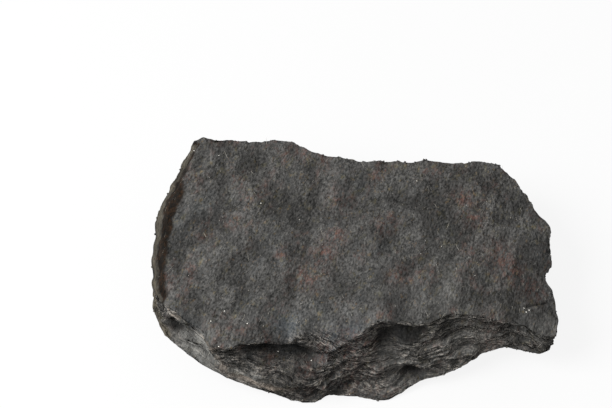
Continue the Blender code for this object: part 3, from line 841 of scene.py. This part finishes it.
stone_mesh, stone_points, stone_quads, stone_masks = slab_mesh()
stone = put_in_scene(stone_mesh)
stone.data.materials.append(vanadium_ore(stone_masks))
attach(stone, "root")
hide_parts("navajoite_slab")


# The sand grains: coarse grains of the sandstone that stand half out of its split and torn
# faces. They are quartz coated with the dark cement, and sit where the surface broke round them.

SAND_COUNT = 9800
# Least and greatest radius, how much smaller grains are on torn walls, and the change of tone
SAND_RADIUS, SAND_LOSS, SAND_TONE = (0.15, 0.32), 0.85, 0.5
SAND_LENGTH, SAND_BURIED = 1.5, 0.45
# A grain as a regular twenty-sided solid of radius one: its corners, a length just over its
# edge, how far corners are moved in or out, its height, and its turn from the streaks
GOLDEN_RATIO = (1 + 5**0.5) / 2
GRAIN_CORNERS = [(x, y * GOLDEN_RATIO, 0) for x in (-1, 1) for y in (-1, 1)]
GRAIN_CORNERS = np.vstack([np.roll(GRAIN_CORNERS, turn, axis=1) for turn in (0, 1, 2)])
GRAIN_CORNERS /= np.linalg.norm(GRAIN_CORNERS[0])
OVER_AN_EDGE = 1.2
GRAIN_SHAPE, GRAIN_HEIGHT, GRAIN_TURN = (0.8, 1.1), 0.8, math.pi / 3


def grain_faces():
    """Every three corners of the twenty-sided solid that are one edge apart, in the order that
    makes their determinant positive, so that the normal points away from the middle."""
    apart = np.linalg.norm(GRAIN_CORNERS[:, None] - GRAIN_CORNERS, axis=2)
    near = apart < OVER_AN_EDGE
    faces = []
    for a, b, c in itertools.combinations(range(len(GRAIN_CORNERS)), 3):
        if near[a, b] and near[b, c] and near[a, c]:
            outwards = np.linalg.det(GRAIN_CORNERS[[a, b, c]]) > 0
            faces.append((a, b, c) if outwards else (a, c, b))
    return np.array(faces)


def places_on_stone(count, random):
    """Random places on the stone's surface, evenly by area: a random point of the square of two
    parameters, mixed from the four corners of a face, with the normal of its diagonals and the
    number of its first corner."""
    a, b, c, d = (stone_points[stone_quads[:, corner]] for corner in range(4))
    crossed = np.cross(c - a, d - b)
    area = np.linalg.norm(crossed, axis=1)
    share = np.cumsum(area) / area.sum()
    face = np.searchsorted(share, random.random(count))
    s, t = random.random((2, count, 1))
    place = (1 - t) * ((1 - s) * a[face] + s * b[face]) + t * ((1 - s) * d[face] + s * c[face])
    return place, crossed[face] / area[face, None], stone_quads[face, 0]


def lying_frame(normals, random, spread):
    """Two unit vectors in the surface: one along the streaks, turned at random by up to the
    spread in radians, and one across it."""
    heading = np.array([*STREAK_HEADING, 0.0])
    angle = random.uniform(-spread, spread, (len(normals), 1))
    along = heading - normals * (normals @ heading)[:, None]
    along /= np.linalg.norm(along, axis=1, keepdims=True) + 1e-9
    across = np.cross(normals, along)
    turned = along * np.cos(angle) + across * np.sin(angle)
    return turned, np.cross(normals, turned)


def grain_mesh(name, places, normals, radii, length, buried, random):
    """A twenty-sided solid at each place: its corners, each moved in or out at random, are spread
    along the lying frame and the normal, and sunk by the buried share of the radius."""
    count = len(GRAIN_CORNERS)
    along, across = lying_frame(normals, random, GRAIN_TURN)
    shape = GRAIN_CORNERS * random.uniform(*GRAIN_SHAPE, (len(places), count, 1))
    stretched = (
        shape[..., :1] * along[:, None] * length
        + shape[..., 1:2] * across[:, None]
        + shape[..., 2:] * normals[:, None] * GRAIN_HEIGHT
    )
    sunk = places - normals * radii[:, None] * buried
    corners = sunk[:, None] + stretched * radii[:, None, None]
    corners[..., 2] = np.maximum(corners[..., 2], 0)
    faces = grain_faces() + count * np.arange(len(places))[:, None, None]
    return new_mesh(name, corners, faces.reshape(-1, 3).tolist())


def sand_mesh():
    """Sand grains all over the stone, smaller where it is torn. Each has the masks of the stone
    where it sits, but a tone of its own."""
    random = np.random.default_rng(31)
    places, normals, corner = places_on_stone(SAND_COUNT, random)
    radii = random.uniform(*SAND_RADIUS, SAND_COUNT) * (1 - SAND_LOSS * stone_masks["steep"][corner])
    mesh = grain_mesh("sand_grains", places, normals, radii, SAND_LENGTH, SAND_BURIED, random)
    masks = {name: values[corner] for name, values in stone_masks.items()}
    change = random.uniform(-SAND_TONE, SAND_TONE, SAND_COUNT)
    masks["tone_and_painted_light"] = np.clip(masks["tone_and_painted_light"] + change, 0, 1)
    put_masks(mesh, {name: np.repeat(values, len(GRAIN_CORNERS)) for name, values in masks.items()})
    return mesh


sand = put_in_scene(sand_mesh())
sand.data.materials.append(stone.data.materials[0])
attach(sand, "root")


# The quartz glints: small clean grains of quartz that catch the light, and whose pale colour is
# partly a painted glint. A few stand where the photographed stone shows them, and the rest are
# strewn thinly.

GLINT_COUNT = 60
# Radii of the strewn glints and of the listed ones, and which way up the listed ones stand
GLINT_RADIUS, LISTED_RADIUS, LISTED_UP = (0.05, 0.10), 0.12, (0.0, -0.5, 0.866)
GLINT_LENGTH, GLINT_BURIED = 1.1, 0.2
GLINTS = (
    (-18.3, 9.1, 17.2), (-24.8, -16.1, 16.9), (-27.5, -18.5, 17.6), (-20.5, -19.0, 17.3),
    (-25.9, -23.8, 17.2), (-8.3, -22.5, 9.3), (-14.7, -21.6, 11.1), (33.3, -13.4, 12.4),
    (33.0, -12.6, 12.4), (34.0, -13.0, 12.4), (-32.1, 23.5, 15.3),
)


def pale_quartz_and_painted_glint():
    """Clean quartz grain: glassy, and pale so that it shows as a white spark, a painted glint as well
    as a real gloss from its low roughness.
    """
    material, shader = new_material("pale_quartz_grain_and_painted_glint")
    fit(shader, {"Base Color": linear("c9c6bd"), "Roughness": 0.2, "IOR": 1.54})
    return material


def glint_mesh():
    """Glints at the points of the stone nearest to the listed places, and at random ones."""
    random = np.random.default_rng(47)
    strewn, normals, _ = places_on_stone(GLINT_COUNT, random)
    nearest = [np.argmin(np.sum((stone_points - spot) ** 2, axis=1)) for spot in GLINTS]
    places = np.vstack([stone_points[nearest], strewn])
    normals = np.vstack([np.tile(LISTED_UP, (len(GLINTS), 1)), normals])
    radii = random.uniform(*GLINT_RADIUS, GLINT_COUNT)
    radii = np.append(np.full(len(GLINTS), LISTED_RADIUS), radii)
    shape = (GLINT_LENGTH, GLINT_BURIED)
    return grain_mesh("quartz_glints", places, normals, radii, *shape, random)


glints = put_in_scene(glint_mesh())
glints.data.materials.append(pale_quartz_and_painted_glint())
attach(glints, "root")


# The crystal fibres: short silky needles of the vanadium mineral, which lie in the split face
# like clipped hairs and curl a little.

FIBRE_COUNT = 900
# The least length and how much longer one may be, and a power that makes the long ones rare
FIBRE_LEAST, FIBRE_SPREAD, FIBRE_RARITY = 0.4, 1.8, 3
FIBRE_RADIUS, FIBRE_TAPER, FIBRE_CURL, FIBRE_TURN = 0.03, 0.97, 0.10, math.pi / 4
FIBRE_STEPS, FIBRE_SIDES = 4, 3
FIBRE_COLOURS, FIBRE_DRIFT = ("2e2e2b", "7f7a70"), 2.5


def fibre_mesh():
    """Fibres on the stone. Along a fibre runs s from -1 to 1, round it an angle. Its middle line
    is the lying frame's first vector times s, plus the second times the curl and the square of
    s less a half. Its radius goes as the root of 1 less the taper and the square of s."""
    random = np.random.default_rng(59)
    places, normals, _ = places_on_stone(FIBRE_COUNT, random)
    along, across = lying_frame(normals, random, FIBRE_TURN)
    rarity = random.random((FIBRE_COUNT, 1, 1)) ** FIBRE_RARITY
    half = (FIBRE_LEAST + FIBRE_SPREAD * rarity) / 2
    curl = random.uniform(-FIBRE_CURL, FIBRE_CURL, (FIBRE_COUNT, 1, 1))
    s = np.linspace(-1, 1, FIBRE_STEPS + 1)[:, None]
    middle = (
        places[:, None]
        + normals[:, None] * FIBRE_RADIUS
        + along[:, None] * s * half
        + across[:, None] * (s**2 - 0.5) * curl
    )
    angle = 2 * np.pi * np.arange(FIBRE_SIDES) / FIBRE_SIDES
    radius = FIBRE_RADIUS * np.sqrt(1 - FIBRE_TAPER * s**2)[..., None]
    sideways = across[:, None, None] * np.cos(angle)[:, None]
    upwards = normals[:, None, None] * np.sin(angle)[:, None]
    skin = middle[:, :, None] + (sideways + upwards) * radius
    skin[..., 2] = np.maximum(skin[..., 2], 0)
    index = np.arange(skin[..., 0].size).reshape(skin.shape[:3])
    beside = np.roll(index, -1, axis=2)
    sides = np.stack([index[:, :-1], index[:, 1:], beside[:, 1:], beside[:, :-1]], axis=-1)
    ends = np.vstack([index[:, 0], index[:, -1, ::-1]])
    return new_mesh("crystal_fibres", skin, sides.reshape(-1, 4).tolist() + ends.tolist())


def silky_fibre():
    """Silky vanadium mineral needles: warm grey, darker and paler by turns, with a soft sheen."""
    material, shader = new_material("silky_vanadium_fibre")
    tree = material.node_tree
    place = add_node(tree, "ShaderNodeTexCoord", {}, "Object")
    grain = {"Scale": 1 / (FIBRE_DRIFT * MM), "Detail": 1.0, "Vector": place}
    drift = add_node(tree, "ShaderNodeTexNoise", grain)
    dark, pale = FIBRE_COLOURS
    mixed = {"data_type": "RGBA", 6: linear(dark), 7: linear(pale), 0: drift}
    colour = add_node(tree, "ShaderNodeMix", mixed, 2)
    fit(shader, {"Base Color": colour, "Roughness": 0.5})
    return material


fibres = put_in_scene(fibre_mesh())
fibres.data.materials.append(silky_fibre())
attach(fibres, "root")


# The floor: a plain sheet of white opal glass, lit from below so that hardly a shadow shows on
# it. It lies a hair below the stone's flat spot, and isn't part of the object.

FLOOR_HALF, FLOOR_HEIGHT = 1500.0, -0.05
FLOOR_GLOW = 0.87


def opal_glass():
    """Matt white glass that glows evenly, and takes only a faint soft shadow."""
    material, shader = new_material("opal_glass")
    fit(shader, {"Base Color": linear("303030"), "Roughness": 0.9})
    fit(shader, {"Emission Color": linear("ffffff"), "Emission Strength": FLOOR_GLOW})
    return material


corners = ((-1, -1), (1, -1), (1, 1), (-1, 1))
corners = np.array([(FLOOR_HALF * x, FLOOR_HALF * y, FLOOR_HEIGHT) for x, y in corners])
floor = put_in_scene(new_mesh("floor", corners, [(0, 1, 2, 3)]))
floor.data.materials.append(opal_glass())


# The light: a white room, and a broad soft lamp high at the left, so that, with the light and
# shade painted on the stone, the left facet is the brightest face and the hollows under the beds
# are the darkest.

LAMP_PLACE, LAMP_SIZE, LAMP_POWER = (-360.0, -100.0, 400.0), 300.0, 7.0

world = bpy.data.worlds.new("white_room")
world.use_nodes = True
fit(world.node_tree.nodes["Background"], {"Color": linear("ffffff"), "Strength": 1.0})
bpy.context.scene.world = world
lamp_data = bpy.data.lights.new("broad_lamp", "AREA")
lamp_data.size = LAMP_SIZE * MM
lamp_data.energy = LAMP_POWER
lamp = put_in_scene(lamp_data)
lamp.location = [value * MM for value in LAMP_PLACE]
lamp.rotation_mode = "QUATERNION"
lamp.rotation_quaternion = (-lamp.location).to_track_quat("-Z", "Y")


# The camera: it looks along +Y and down by 55 degrees, from 34 cm, and frames the stone right
# of and below the middle.

ELEVATION = math.radians(55)
CAMERA_PLACE = (-9.35, -185.63, 295.08)

camera_data = bpy.data.cameras.new("camera")
camera_data.lens = 100
camera_data.sensor_width = 36
camera_data.clip_start = 10 * MM
camera = put_in_scene(camera_data)
camera.location = [value * MM for value in CAMERA_PLACE]
camera.rotation_euler = (math.pi / 2 - ELEVATION, 0, 0)
bpy.context.scene.camera = camera
bpy.context.scene.view_settings.view_transform = "Standard"
